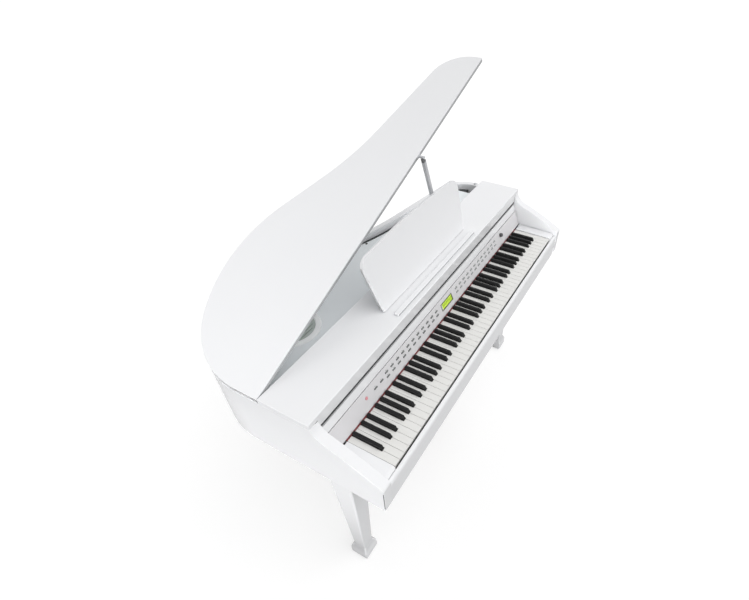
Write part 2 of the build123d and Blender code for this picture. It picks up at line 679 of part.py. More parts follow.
pin = rod(HINGE_PIN_RADIUS, (HINGE_X, HINGE_START, HINGE_Z), (HINGE_X, hinge_end, HINGE_Z))
hinge_base = leaf(RIM_TOP, RIM_TOP + LEAF_THICK, 0) + knuckles(0) + pin
save("lid_hinge_base", hinge_base)
lid_under = RIM_TOP + LID_GAP
bore = rod(
    HINGE_PIN_RADIUS + RUNNING_CLEARANCE, (HINGE_X, HINGE_START, HINGE_Z), (HINGE_X, hinge_end, HINGE_Z)
)
hinge_leaf = leaf(lid_under - LEAF_THICK, lid_under, 1) + knuckles(1) - bore
save("lid_hinge_leaf", opened(hinge_leaf))

# Catch on the lid's front edge: a small plate with the peg that rests on the prop
PEG_PLATE = (18.0, 9.0, 2.0)
peg_z = CASE_TOP - LID_THICK / 2
catch = block(
    PEG_X - PEG_PLATE[0] / 2, PEG_X + PEG_PLATE[0] / 2, LID_FRONT - PEG_PLATE[2], LID_FRONT,
    peg_z - PEG_PLATE[1] / 2, peg_z + PEG_PLATE[1] / 2,
)
catch += rod(PEG_RADIUS, (PEG_X, LID_FRONT - 1, peg_z), (PEG_X, PROP_FRONT, peg_z))
save("lid_catch", opened(catch))

# Lid prop: a square stick on a pin below the notch, with a bevelled cap under the peg
prop_plane = Plane(
    origin=(PROP_PIVOT[0], PROP_FRONT + PROP_THICK / 2, PROP_PIVOT[1]),
    x_dir=(-cos(radians(prop_rise)), 0, sin(radians(prop_rise))), z_dir=(0, -1, 0),
)
BEVEL = 45.0
half_width = PROP_WIDTH / 2
bevel_middle = prop_length - (PEG_RADIUS + 0.4) / cos(radians(BEVEL))
cap_start = bevel_middle - PROP_CAP
stick_face = make_face(
    Polyline((0, -half_width), (cap_start, -half_width), (cap_start, half_width), (0, half_width), close=True)
)
stick_face += Circle(half_width)
stick = extrude(stick_face, amount=PROP_THICK / 2, both=True)
stick -= Cylinder(PROP_PIN_RADIUS + RUNNING_CLEARANCE, 2 * PROP_THICK)
save("lid_prop", prop_plane * stick)
bevel_drop = half_width * tan(radians(BEVEL))
outer_side = -1.0
cap_face = make_face(
    Polyline(
        (cap_start, -half_width),
        (bevel_middle + outer_side * bevel_drop, -half_width),
        (bevel_middle - outer_side * bevel_drop, half_width),
        (cap_start, half_width),
        close=True,
    )
)
save("prop_cap", prop_plane * extrude(cap_face, amount=PROP_THICK / 2, both=True))
bracket_back = PROP_FRONT - 0.5
bracket_front = BOARD_REAR - NOTCH_DEPTH - 6.0
bracket = block(
    PROP_PIVOT[0] - 15, PROP_PIVOT[0] + 15, bracket_front, bracket_back, PROP_PIVOT[1] - 9, RIM_TOP
)
pin_end = PROP_FRONT + PROP_THICK + 1.0
bracket += rod(
    PROP_PIN_RADIUS, (PROP_PIVOT[0], bracket_front, PROP_PIVOT[1]), (PROP_PIVOT[0], pin_end, PROP_PIVOT[1])
)
save("prop_bracket", bracket)

# Rubber bumpers on the rim under the lid
bumper_height = LID_GAP - SEAT_GAP
tail_x = -HALF + BASS_RADIUS * (1 - sin(radians(BASS_HEADING))) + TAIL_RADIUS * sin(radians(BASS_HEADING))
treble_inward = Vector(sin(radians(TREBLE_HEADING)), -cos(radians(TREBLE_HEADING)))
treble_spot = (treble_line @ 0.75) + treble_inward * (SIDE_THICK / 2)
bumper_spots = [
    (tail_x, CASE_DEPTH / 2 - SIDE_THICK / 2),
    (treble_spot.X, treble_spot.Y),
    (HALF - SIDE_THICK / 2, LID_FRONT + 24),
]
save(
    "lid_bumpers",
    *[Pos(x, y, RIM_TOP + bumper_height / 2) * Cylinder(6, bumper_height) for x, y in bumper_spots],
)

# Sound deck on a ledger inside the rim, with a shadow gap around it
deck_bottom = DECK_TOP - DECK_THICK
deck = cabinet(SIDE_THICK + DECK_SHADOW_GAP, DECK_FRONT, deck_bottom, DECK_TOP)
deck &= block(-CASE_WIDTH, DECK_TREBLE_END, FRONT, CASE_DEPTH, deck_bottom, DECK_TOP)
treble_room = tail_edge(RIGHT_SPEAKER_X) - SIDE_THICK - LEDGER_WIDTH - DECK_FRONT
speaker_spots = [
    (LEFT_SPEAKER_X, DECK_FRONT + SPEAKER_MARGIN + LEFT_RING, LEFT_RING),
    (RIGHT_SPEAKER_X, DECK_FRONT + treble_room / 2, RIGHT_RING),
]
for x, y, ring in speaker_spots:
    deck -= Pos(x, y, DECK_TOP) * Cylinder(ring * SPEAKER_HOLE, 3 * DECK_THICK)
save("sound_deck", deck)
ledger_start = COVER_NOSE_Y + COVER_LENGTH + 3.0
ledger_bottom = deck_bottom - LEDGER_THICK
ledger = cabinet(SIDE_THICK + 0.2, ledger_start, ledger_bottom, deck_bottom)
ledger -= cabinet(SIDE_THICK + LEDGER_WIDTH, ledger_start - 1, ledger_bottom, deck_bottom)
save("deck_ledger", ledger)

# Speakers: trim ring and slotted grille on the deck, driver below it
rings = []
grilles = []
drivers = []
for x, y, ring in speaker_spots:
    place = Pos(x, y, DECK_TOP)
    mouth = ring * SPEAKER_MOUTH
    ring_profile = Polyline(
        (mouth, 0), (ring, 0), (ring, 1.5), (ring - 4, 5.0), (mouth + 3, 5.0), (mouth, 2.5), close=True
    )
    rings.append(place * revolve(Plane.XZ * make_face(ring_profile), Axis.Z))
    grille = Pos(0, 0, 1.0) * Cylinder(mouth - 0.3, 2.0)
    slots = []
    for n in range(-5, 6):
        across = n * mouth * 0.16
        half_slot = (mouth * mouth * 0.78 - across * across) ** 0.5
        slots.append(Pos(0, across, 1.0) * Box(2 * half_slot, mouth * 0.06, 4))
    grilles.append(place * (grille - slots))
    flange = ring * SPEAKER_FLANGE
    throat = ring * SPEAKER_THROAT
    driver_profile = Polyline(
        (0, -58), (throat * 0.55, -58), (throat * 0.55, -38), (throat, -4), (flange, -4),
        (flange, 0), (throat - 4, 0), (throat * 0.35, -30), (0, -24), close=True,
    )
    driver = revolve(Plane.XZ * make_face(driver_profile), Axis.Z)
    drivers.append(Pos(0, 0, -DECK_THICK) * place * driver)
save("speaker_rings", *rings)
save("speaker_grilles", *grilles)
save("speaker_drivers", *drivers)

# Electronics on the keybed: main circuit board and power supply
MAIN_BOARD = (-40.0, KEY_FRONT + 420.0, 220.0, 120.0)
main_board = Pos(MAIN_BOARD[0], MAIN_BOARD[1], KEYBED_TOP + 8.8) * Box(MAIN_BOARD[2], MAIN_BOARD[3], 1.6)
main_board += Pos(MAIN_BOARD[0] + 30, MAIN_BOARD[1], KEYBED_TOP + 17.5) * Box(70, 40, 16)
for x in (-1, 1):
    for y in (-1, 1):
        post_x = MAIN_BOARD[0] + x * (MAIN_BOARD[2] / 2 - 8)
        post_y = MAIN_BOARD[1] + y * (MAIN_BOARD[3] / 2 - 8)
        main_board += rod(4, (post_x, post_y, KEYBED_TOP), (post_x, post_y, KEYBED_TOP + 8.2))
save("main_circuit_board", main_board)
SUPPLY_X = -265.0
SUPPLY_Y = KEY_FRONT + 485.0
SUPPLY_SIZE = (130.0, 90.0, 42.0)
supply = Pos(SUPPLY_X, SUPPLY_Y, KEYBED_TOP + SUPPLY_SIZE[2] / 2) * Box(*SUPPLY_SIZE)
supply = chamfer(supply.edges().group_by(Axis.Z)[-1], 3.0)
save("power_supply", supply)

# Power inlet let into the keybed from below, with three contact blades
inlet_depth = 22.0
inlet = block(
    INLET_X - INLET_SIZE[0] / 2 + 0.2, INLET_X + INLET_SIZE[0] / 2 - 0.2,
    INLET_Y - INLET_SIZE[1] / 2 + 0.2, INLET_Y + INLET_SIZE[1] / 2 - 0.2,
    CASE_BOTTOM, CASE_BOTTOM + inlet_depth,
)
inlet += block(
    INLET_X - 27, INLET_X + 27, INLET_Y - 17, INLET_Y + 17, CASE_BOTTOM - 3, CASE_BOTTOM
)
SOCKET_SIZE = (25.0, 17.0)
inlet -= block(
    INLET_X - SOCKET_SIZE[0] / 2, INLET_X + SOCKET_SIZE[0] / 2,
    INLET_Y - SOCKET_SIZE[1] / 2, INLET_Y + SOCKET_SIZE[1] / 2,
    CASE_BOTTOM - 4, CASE_BOTTOM + inlet_depth - 5,
)
for x, y in ((-7.0, -2.0), (0.0, 2.5), (7.0, -2.0)):
    inlet += block(
        INLET_X + x - 1, INLET_X + x + 1, INLET_Y + y - 2, INLET_Y + y + 2,
        CASE_BOTTOM + 8, CASE_BOTTOM + inlet_depth - 4,
    )
save("power_inlet", inlet)

# Tapered square legs with a flared foot, mounting plates, screws and glides
leg_z1 = CASE_BOTTOM - LEG_PLATE_THICK
foot_top = GLIDE_HEIGHT + FOOT_HEIGHT
shaft_z0 = foot_top + FOOT_FLARE


def square(size, z, corner):
    """Square section with small bevelled corners at a height."""
    return Pos(0, 0, z) * chamfer(Rectangle(size, size).vertices(), corner)


def leg():
    """One leg, drawn about its own vertical axis."""
    shaft = loft([square(LEG_BOTTOM, shaft_z0, 3), square(LEG_TOP, leg_z1, 5)])
    flare = loft([square(FOOT_SIZE, foot_top, 3), square(LEG_BOTTOM, shaft_z0, 3)])
    foot = raised(square(FOOT_SIZE, 0, 3), GLIDE_HEIGHT, foot_top)
    return shaft + flare + foot


leg_spots = {
    "left_front_leg": (-FRONT_LEG[0], FRONT_LEG[1]),
    "right_front_leg": FRONT_LEG,
    "rear_leg": REAR_LEG,
}
plates = []
screws = []
glides = []
for name, (x, y) in leg_spots.items():
    save(name, Pos(x, y, 0) * leg())
    edge = LEG_PLATE / 2
    plates.append(block(x - edge, x + edge, y - edge, y + edge, leg_z1, CASE_BOTTOM))
    for dx in (-1, 1):
        for dy in (-1, 1):
            spot = Pos(x + dx * (edge - 9), y + dy * (edge - 9), leg_z1 - 1.5)
            screws.append(spot * Cylinder(5, 3))
    glides.append(Pos(x, y, GLIDE_HEIGHT / 2) * Cylinder(20, GLIDE_HEIGHT))
save("leg_plates", *plates)
save("leg_screws", *screws)
save("leg_glides", *glides)

# Pedal lyre: two turned posts, a pedal box and braces
box_top = PEDAL_Z + LYRE_BOX[2] - 20.0
box_bottom = box_top - LYRE_BOX[2]
box_front = LYRE_BOX_Y - LYRE_BOX[1] / 2
box_back = LYRE_BOX_Y + LYRE_BOX[1] / 2
pedal_box = block(-LYRE_BOX[0] / 2, LYRE_BOX[0] / 2, box_front, box_back, box_bottom, box_top)
pedal_box = fillet(pedal_box.edges().filter_by(Axis.Z), 10)
PEDAL_WIDTH = 24.0
PEDAL_THICK = 10.0
PEDAL_PIN = 3.0
pedal_spots = {"soft_pedal": -PEDAL_SPACING, "sostenuto_pedal": 0.0, "damper_pedal": PEDAL_SPACING}
slot_half = PEDAL_WIDTH / 2 + 1.0
for x in pedal_spots.values():
    pedal_box -= block(
        x - slot_half, x + slot_half, box_front - 1, PEDAL_PIN_Y + 9, box_bottom - 1, PEDAL_Z + 9
    )
    pedal_box += rod(
        PEDAL_PIN, (x - slot_half - 4, PEDAL_PIN_Y, PEDAL_Z), (x + slot_half + 4, PEDAL_PIN_Y, PEDAL_Z)
    )
save("pedal_box", pedal_box)
base_radius, neck_radius, belly_radius, throat_radius, head_radius = POST_RADII
post_profile = Polyline(
    (0, box_top),
    (base_radius, box_top),
    (base_radius, box_top + 20),
    (neck_radius, box_top + 34),
    (belly_radius, CASE_BOTTOM - 160),
    (throat_radius, CASE_BOTTOM - 60),
    (head_radius, CASE_BOTTOM - 24),
    (head_radius, CASE_BOTTOM),
    (0, CASE_BOTTOM),
    close=True,
)
post = revolve(Plane.XZ * make_face(post_profile), Axis.Z)
save("lyre_posts", *[Pos(x, LYRE_BOX_Y, 0) * post for x in (-POST_X, POST_X)])
braces = []
for x in (-POST_X, POST_X):
    bar = rod(6, (x, box_back - 20, box_top - 40), (x, box_back + 190, CASE_BOTTOM + 20))
    bar &= block(x - 20, x + 20, box_back, CASE_DEPTH, 0, CASE_BOTTOM)
    braces.append(bar)
save("lyre_braces", *braces)


def pedal(x):
    """Pedal lever: narrow at the pin, spread and rounded at the toe end."""
    toe = PEDAL_WIDTH / 2
    outline = Curve() + [
        Line((-7, PEDAL_PIN_Y + 6), (7, PEDAL_PIN_Y + 6)),
        Line((7, PEDAL_PIN_Y + 6), (7, box_front)),
        Spline((7, box_front), (toe, PEDAL_TIP_Y + toe), tangents=((0, -1), (0, -1))),
        ThreePointArc((toe, PEDAL_TIP_Y + toe), (0, PEDAL_TIP_Y), (-toe, PEDAL_TIP_Y + toe)),
        Spline((-toe, PEDAL_TIP_Y + toe), (-7, box_front), tangents=((0, 1), (0, 1))),
        Line((-7, box_front), (-7, PEDAL_PIN_Y + 6)),
    ]
    lever = Pos(x, 0, 0) * raised(make_face(outline), PEDAL_Z - PEDAL_THICK / 2, PEDAL_Z + PEDAL_THICK / 2)
    return lever - rod(
        PEDAL_PIN + RUNNING_CLEARANCE, (x - 20, PEDAL_PIN_Y, PEDAL_Z), (x + 20, PEDAL_PIN_Y, PEDAL_Z)
    )


for name, x in pedal_spots.items():
    save(name, pedal(x))
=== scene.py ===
"""White digital mini grand piano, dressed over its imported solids, in metres."""

import json
from math import radians

import bmesh
import bpy
from mathutils import Matrix, Vector
from mathutils.bvhtree import BVHTree


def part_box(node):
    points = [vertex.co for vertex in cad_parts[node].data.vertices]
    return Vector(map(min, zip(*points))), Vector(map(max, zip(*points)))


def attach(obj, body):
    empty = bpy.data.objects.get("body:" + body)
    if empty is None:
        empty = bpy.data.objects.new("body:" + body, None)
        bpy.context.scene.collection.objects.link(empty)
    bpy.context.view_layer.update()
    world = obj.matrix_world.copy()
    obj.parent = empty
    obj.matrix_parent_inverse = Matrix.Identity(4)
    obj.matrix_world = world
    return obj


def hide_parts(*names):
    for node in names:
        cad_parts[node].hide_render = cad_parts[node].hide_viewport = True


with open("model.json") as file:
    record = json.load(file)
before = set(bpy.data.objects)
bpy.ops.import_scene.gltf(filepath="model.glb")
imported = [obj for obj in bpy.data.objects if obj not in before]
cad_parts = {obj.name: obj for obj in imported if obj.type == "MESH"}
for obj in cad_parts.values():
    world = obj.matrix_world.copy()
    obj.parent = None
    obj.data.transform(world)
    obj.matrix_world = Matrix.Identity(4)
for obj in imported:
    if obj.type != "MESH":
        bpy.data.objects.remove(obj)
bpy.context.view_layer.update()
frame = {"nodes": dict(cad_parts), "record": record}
nodes = frame["nodes"]
record = frame["record"]
body_of = {node: body for body, names in record["behaviour"]["bodies"].items() for node in names}
slot_of = {part["node"]: part["material_slot"] for part in record["subparts"]}

# Places read from the solids
arm_low, arm_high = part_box("right_side_panel")
keys_low, keys_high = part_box("white_keys_bass")
ARM_INNER = arm_low.x
HALF_WIDTH = arm_high.x
SIDE_END = arm_high.y
KEY_FRONT = keys_low.y
KEY_TOP = keys_high.z
BOARD_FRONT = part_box("front_top_board")[0].y
DECK_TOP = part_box("sound_deck")[1].z
LID_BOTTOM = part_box("lid")[0].z

# A place and directions on the solids that their boxes don't give
FASCIA_BOTTOM = KEY_TOP + 0.098
PANEL_OUT = Vector((0, -0.92620, 0.37704))
PANEL_UP = Vector((0, 0.37704, 0.92620))

# Limits of the mesh work
MERGE_DISTANCE = 0.00001
FLAT_ANGLE = radians(0.5)
SMOOTH_ANGLE = radians(40)


# Mesh helpers
def add_object(name, data):
    """New object in the scene, at the origin."""
    item = bpy.data.objects.new(name, data)
    bpy.context.scene.collection.objects.link(item)
    return item


def to_mesh(name, bm, material):
    """Mesh with one finish, made from a bmesh that is then freed."""
    mesh = bpy.data.meshes.new(name)
    bm.to_mesh(mesh)
    bm.free()
    mesh.materials.append(material)
    return mesh


def finish_piece(name, bm, material, body, slot, replaced=()):
    """Turn a bmesh into a piece that rides on a body and may stand for solids."""
    mesh = to_mesh(name, bm, material)
    mesh.polygons.foreach_set("use_smooth", [True] * len(mesh.polygons))
    mesh.set_sharp_from_angle(angle=SMOOTH_ANGLE)
    piece = add_object(name, mesh)
    normals = piece.modifiers.new("even_normals", "WEIGHTED_NORMAL")
    normals.keep_sharp = True
    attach(piece, body)
    if replaced:
        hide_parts(*replaced)


def dress(node, bm, material):
    """Let a reworked copy of a solid stand for it, on the same body."""
    finish_piece(f"{node}_finished", bm, material, body_of[node], slot_of[node], [node])


def joined_copy(node):
    """A solid's mesh with its loose triangles joined and its flat faces made whole."""
    bm = bmesh.new()
    bm.from_mesh(nodes[node].data)
    bmesh.ops.remove_doubles(bm, verts=bm.verts[:], dist=MERGE_DISTANCE)
    bmesh.ops.dissolve_limit(bm, angle_limit=FLAT_ANGLE, verts=bm.verts[:], edges=bm.edges[:])
    return bm


def round_edges(bm, width, steps, least=30, spared=None):
    """Round the edges whose faces meet at more than an angle, less those that a test spares."""
    bm.normal_update()
    sharp = [
        edge for edge in bm.edges
        if len(edge.link_faces) == 2 and edge.calc_face_angle(0) > radians(least)
        and not (spared and spared(edge))
    ]
    bmesh.ops.bevel(
        bm, geom=sharp, offset=width, segments=steps, profile=0.5,
        affect="EDGES", clamp_overlap=True, material=-1,
    )


def cut_across(bm, place, way):
    """Cut new edges into a bmesh where a plane crosses it."""
    whole = bm.verts[:] + bm.edges[:] + bm.faces[:]
    bmesh.ops.bisect_plane(bm, geom=whole, plane_co=place, plane_no=way)
    bm.normal_update()


def thicken(bm, way):
    """Give flat faces a thickness one way and turn the closed shape's faces outwards."""
    grown = bmesh.ops.extrude_face_region(bm, geom=bm.faces[:])["geom"]
    moved = [part for part in grown if isinstance(part, bmesh.types.BMVert)]
    bmesh.ops.translate(bm, vec=way, verts=moved)
    bmesh.ops.recalc_face_normals(bm, faces=bm.faces[:])


def softened(node, material, width, steps, least=30, spared=None):
    """A solid with its sharp edges rounded as a maker sands, moulds or lacquers them."""
    bm = joined_copy(node)
    round_edges(bm, width, steps, least, spared)
    dress(node, bm, material)


def add_strip(name, low, high, width, material, body, slot):
    """Straight strip between two corners, with rounded edges, as a piece of its own."""
    bm = bmesh.new()
    bmesh.ops.create_cube(bm, size=1.0)
    bmesh.ops.scale(bm, vec=Vector(high) - Vector(low), verts=bm.verts[:])
    bmesh.ops.translate(bm, vec=(Vector(low) + Vector(high)) / 2, verts=bm.verts[:])
    round_edges(bm, width, 2)
    finish_piece(name, bm, material, body, slot)


def add_rectangle(bm, half_wide, half_high):
    """Flat rectangle about the origin, facing up; gives back its corners."""
    verts = bmesh.ops.create_grid(bm, x_segments=1, y_segments=1, size=1.0)["verts"]
    bmesh.ops.scale(bm, vec=(half_wide, half_high, 1.0), verts=verts)
    return verts


def add_turned(bm, profile, centre, steps):
    """Spin a closed (radius, height) profile about a vertical axis through a point."""
    place = Vector(centre)
    verts = [bm.verts.new(place + Vector((radius, 0.0, height))) for radius, height in profile]
    edges = [bm.edges.new(pair) for pair in zip(verts, verts[1:] + verts[:1])]
    bmesh.ops.spin(
        bm, geom=verts + edges, cent=place, axis=(0, 0, 1), angle=radians(360), steps=steps, use_merge=True,
    )


def separate_solids(bm):
    """Vertices of each solid in a bmesh that no edge joins to another."""
    seen = set()
    for start in bm.verts:
        if start in seen:
            continue
        seen.add(start)
        solid = [start]
        for vert in solid:
            near = [edge.other_vert(vert) for edge in vert.link_edges]
            fresh = [other for other in near if other not in seen]
            seen.update(fresh)
            solid.extend(fresh)
        yield solid


def extent(points, way):
    """Lowest and highest level of some points along a direction."""
    levels = [point.dot(way) for point in points]
    return min(levels), max(levels)


# Shader helpers
def feed(tree, socket, value):
    """Link another node's output to a socket, or set a plain value on it."""
    if isinstance(value, bpy.types.NodeSocket):
        tree.links.new(value, socket)
    else:
        socket.default_value = value


def math_step(tree, operation, first, second=0.0):
    """Math node whose inputs are outputs of other nodes or plain numbers."""
    step = tree.nodes.new("ShaderNodeMath")
    step.operation = operation
    feed(tree, step.inputs[0], first)
    feed(tree, step.inputs[1], second)
    return step.outputs["Value"]


def colour_mix(tree, factor, first, second):
    """Mix node between two colours; inputs 6 and 7 of such a node are its colours."""
    mix = tree.nodes.new("ShaderNodeMix")
    mix.data_type = "RGBA"
    feed(tree, mix.inputs["Factor"], factor)
    feed(tree, mix.inputs[6], first)
    feed(tree, mix.inputs[7], second)
    return mix.outputs[2]


def shader(name, **sockets):
    """New material with constant values set on the Principled shader."""
    material = bpy.data.materials.new(name)
    material.use_nodes = True
    principled = material.node_tree.nodes["Principled BSDF"]
    for key, value in sockets.items():
        principled.inputs[key.replace("_", " ")].default_value = value
    return material, material.node_tree, principled


def make_variation_group():
    """Shader group: two scales of noise, stretched along the grain, for colour, roughness and height."""
    tree = bpy.data.node_groups.new("fine_variation", "ShaderNodeTree")
    for name, kind in (
        ("Tint A", "NodeSocketColor"), ("Tint B", "NodeSocketColor"),
        ("Scale", "NodeSocketFloat"), ("Fine Scale", "NodeSocketFloat"), ("Stretch", "NodeSocketVector"),
        ("Rough Low", "NodeSocketFloat"), ("Rough High", "NodeSocketFloat"),
    ):
        tree.interface.new_socket(name, in_out="INPUT", socket_type=kind)
    for name, kind in (
        ("Color", "NodeSocketColor"), ("Roughness", "NodeSocketFloat"), ("Height", "NodeSocketFloat"),
    ):
        tree.interface.new_socket(name, in_out="OUTPUT", socket_type=kind)
    start = tree.nodes.new("NodeGroupInput")
    end = tree.nodes.new("NodeGroupOutput")
    coords = tree.nodes.new("ShaderNodeTexCoord")
    along = tree.nodes.new("ShaderNodeVectorMath")
    along.operation = "MULTIPLY"
    broad = tree.nodes.new("ShaderNodeTexNoise")
    broad.inputs["Detail"].default_value = 4.0
    fine = tree.nodes.new("ShaderNodeTexNoise")
    fine.inputs["Detail"].default_value = 6.0
    spread = tree.nodes.new("ShaderNodeMapRange")
    spread.inputs["From Min"].default_value = 0.3
    spread.inputs["From Max"].default_value = 0.7
    colour = colour_mix(tree, broad.outputs["Fac"], start.outputs["Tint A"], start.outputs["Tint B"])
    link = tree.links.new
    link(coords.outputs["Object"], along.inputs[0])
    link(start.outputs["Stretch"], along.inputs[1])
    link(along.outputs["Vector"], broad.inputs["Vector"])
    link(along.outputs["Vector"], fine.inputs["Vector"])
    link(start.outputs["Scale"], broad.inputs["Scale"])
    link(start.outputs["Fine Scale"], fine.inputs["Scale"])
    link(fine.outputs["Fac"], spread.inputs["Value"])
    link(start.outputs["Rough Low"], spread.inputs["To Min"])
    link(start.outputs["Rough High"], spread.inputs["To Max"])
    link(colour, end.inputs["Color"])
    link(spread.outputs["Result"], end.inputs["Roughness"])
    link(fine.outputs["Fac"], end.inputs["Height"])
    return tree


VARIATION = make_variation_group()


def add_variation(tree, **values):
    """Place the shared noise group in a material, with its own values."""
    group = tree.nodes.new("ShaderNodeGroup")
    group.name = "variation"
    group.node_tree = VARIATION
    for key, value in values.items():
        group.inputs[key.replace("_", " ")].default_value = value
    return group


def grained(name, tint_a, tint_b, scale, fine, rough, bump, depth=0.0004, stretch=(1, 1, 1), **sockets):
    """Material whose colour, roughness and fine relief come from the shared noise group."""
    material, tree, principled = shader(name, **sockets)
    group = add_variation(
        tree, Tint_A=(*tint_a, 1.0), Tint_B=(*tint_b, 1.0), Scale=scale, Fine_Scale=fine, Stretch=stretch,
        Rough_Low=rough[0], Rough_High=rough[1],
    )
    relief = tree.nodes.new("ShaderNodeBump")
    relief.inputs["Strength"].default_value = bump
    relief.inputs["Distance"].default_value = depth
    tree.links.new(group.outputs["Color"], principled.inputs["Base Color"])
    tree.links.new(group.outputs["Roughness"], principled.inputs["Roughness"])
    tree.links.new(group.outputs["Height"], relief.inputs["Height"])
    tree.links.new(relief.outputs["Normal"], principled.inputs["Normal"])
    return material


def white_lacquer(name):
    """Thick white gloss lacquer with a faint unevenness."""
    return grained(
        name, (0.83, 0.835, 0.85), (0.86, 0.865, 0.878), 2.6, 320.0, (0.16, 0.24), 0.05,
        depth=0.0002, Specular_IOR_Level=0.4, Coat_Weight=0.2, Coat_Roughness=0.06,
    )


# Painted finishes: two tints, the broad and the fine noise scale, the roughness range and the relief
lacquer = white_lacquer("white_lacquer")
prop_paint = grained(
    "prop_paint", (0.52, 0.53, 0.55), (0.58, 0.59, 0.61), 9.0, 400.0, (0.2, 0.3), 0.05,
)
deck_paint = grained(
    "deck_paint", (0.87, 0.91, 0.93), (0.905, 0.94, 0.955), 4.0, 420.0, (0.4, 0.55), 0.1,
)
panel_paint = grained(
    "panel_paint", (0.685, 0.68, 0.695), (0.725, 0.715, 0.725), 5.0, 900.0, (0.3, 0.42), 0.1,
)
# Near-black stain for the hidden boards, which is also a painted shade for what shows of them through gaps
# in the case
stained_board_and_gap_shade = grained(
    "stained_board_and_gap_shade", (0.030, 0.031, 0.034), (0.050, 0.051, 0.055), 16.0, 90.0, (0.6, 0.8), 0.3,
    depth=0.0006, stretch=(1, 7, 7),
)

# Lacquer with a painted shade: darker grey on the faces of a board that are marked for it
EDGE_SHADE_ATTRIBUTE = "painted_edge_shade"
EDGE_SHADE_GREY = (0.42, 0.425, 0.435, 1.0)
edge_shaded_lacquer = white_lacquer("white_lacquer_painted_edge_shade")
edge_shaded_tree = edge_shaded_lacquer.node_tree
edge_shade_mark = edge_shaded_tree.nodes.new("ShaderNodeAttribute")
edge_shade_mark.attribute_name = EDGE_SHADE_ATTRIBUTE
edge_shade_colour = colour_mix(
    edge_shaded_tree, edge_shade_mark.outputs["Fac"], edge_shaded_tree.nodes["variation"].outputs["Color"], EDGE_SHADE_GREY,
)
edge_shaded_tree.links.new(edge_shade_colour, edge_shaded_tree.nodes["Principled BSDF"].inputs["Base Color"])

# Moulded plastics and rubbers
ring_plastic = grained(
    "ring_plastic", (0.92, 0.935, 0.935), (0.95, 0.96, 0.96), 6.0, 700.0, (0.3, 0.42), 0.08,
)
dark_plastic = grained(
    "dark_plastic", (0.02, 0.02, 0.022), (0.035, 0.035, 0.04), 8.0, 500.0, (0.35, 0.5), 0.15,
)
# The bass-side buttons are a darker copy of the treble-side finish, a painted shade for the shaded left end
# of the panel
bass_button_shaded = grained(
    "bass_button_shaded", (0.07, 0.078, 0.074), (0.26, 0.275, 0.27), 55.0, 900.0, (0.35, 0.5), 0.12,
)
treble_button_lit = grained(
    "treble_button_lit", (0.16, 0.172, 0.168), (0.46, 0.48, 0.475), 55.0, 900.0, (0.35, 0.5), 0.12,
)
bezel_plastic = grained(
    "bezel_plastic", (0.07, 0.08, 0.045), (0.11, 0.12, 0.07), 30.0, 900.0, (0.4, 0.5), 0.12,
)
knob_plastic = grained(
    "knob_plastic", (0.05, 0.05, 0.055), (0.09, 0.09, 0.095), 60.0, 900.0, (0.35, 0.5), 0.15,
)
power_plastic = grained(
    "power_plastic", (0.70, 0.27, 0.30), (0.76, 0.34, 0.37), 30.0, 700.0, (0.3, 0.45), 0.1,
)
key_white = grained(
    "key_white", (0.755, 0.75, 0.728), (0.80, 0.797, 0.778), 9.0, 60.0, (0.16, 0.28), 0.04,
    depth=0.0003, stretch=(9, 1, 9), Coat_Weight=0.2,
)
key_black = grained(
    "key_black", (0.004, 0.004, 0.0045), (0.008, 0.008, 0.009), 20.0, 120.0, (0.3, 0.45), 0.12,
    depth=0.0003, stretch=(8, 1, 8), Specular_IOR_Level=0.3,
)
cap_rubber = grained(
    "cap_rubber", (0.15, 0.152, 0.156), (0.21, 0.212, 0.218), 60.0, 900.0, (0.6, 0.8), 0.3,
)
# Grey for the painted shade along the top of the key cover's nose
nose_shade_grey = grained(
    "nose_shade_grey", (0.40, 0.402, 0.41), (0.47, 0.472, 0.48), 30.0, 900.0, (0.6, 0.75), 0.2,
)
foot_rubber = grained(
    "rubber", (0.018, 0.018, 0.02), (0.03, 0.03, 0.032), 10.0, 600.0, (0.7, 0.85), 0.3,
)
bumper_rubber = grained(
    "bumper_rubber", (0.5, 0.51, 0.53), (0.58, 0.59, 0.6), 40.0, 900.0, (0.6, 0.8), 0.2,
)

# Felt, cloth, paper, circuit board and the dark finishes for seams and painted shade
felt_red = grained(
    "felt_red", (0.17, 0.045, 0.05), (0.27, 0.075, 0.08), 120.0, 1600.0, (0.85, 1.0), 0.8, depth=0.001,
)
# Black for the seams at the case's front corners, and for the painted shade in the slot under the fascia
seam_black_and_slot_shade = grained(
    "seam_black_and_slot_shade", (0.04, 0.04, 0.042), (0.065, 0.065, 0.068), 90.0, 1500.0, (0.9, 1.0), 0.8, depth=0.001,
)
# Near-black for the painted shade in the gap between the deck and the rim
gap_shade_dark = grained(
    "gap_shade_dark", (0.05, 0.053, 0.055), (0.085, 0.088, 0.09), 60.0, 1200.0, (0.9, 1.0), 0.6, depth=0.001,
)
grille_cloth = grained(
    "grille_cloth", (0.33, 0.37, 0.35), (0.41, 0.45, 0.43), 140.0, 2400.0, (0.85, 1.0), 0.7, depth=0.0008,
)
cone_paper = grained(
    "cone_paper", (0.02, 0.02, 0.022), (0.04, 0.04, 0.043), 60.0, 900.0, (0.7, 0.9), 0.4,
)
circuit = grained(
    "circuit", (0.02, 0.12, 0.05), (0.03, 0.17, 0.08), 60.0, 900.0, (0.3, 0.5), 0.2,
)

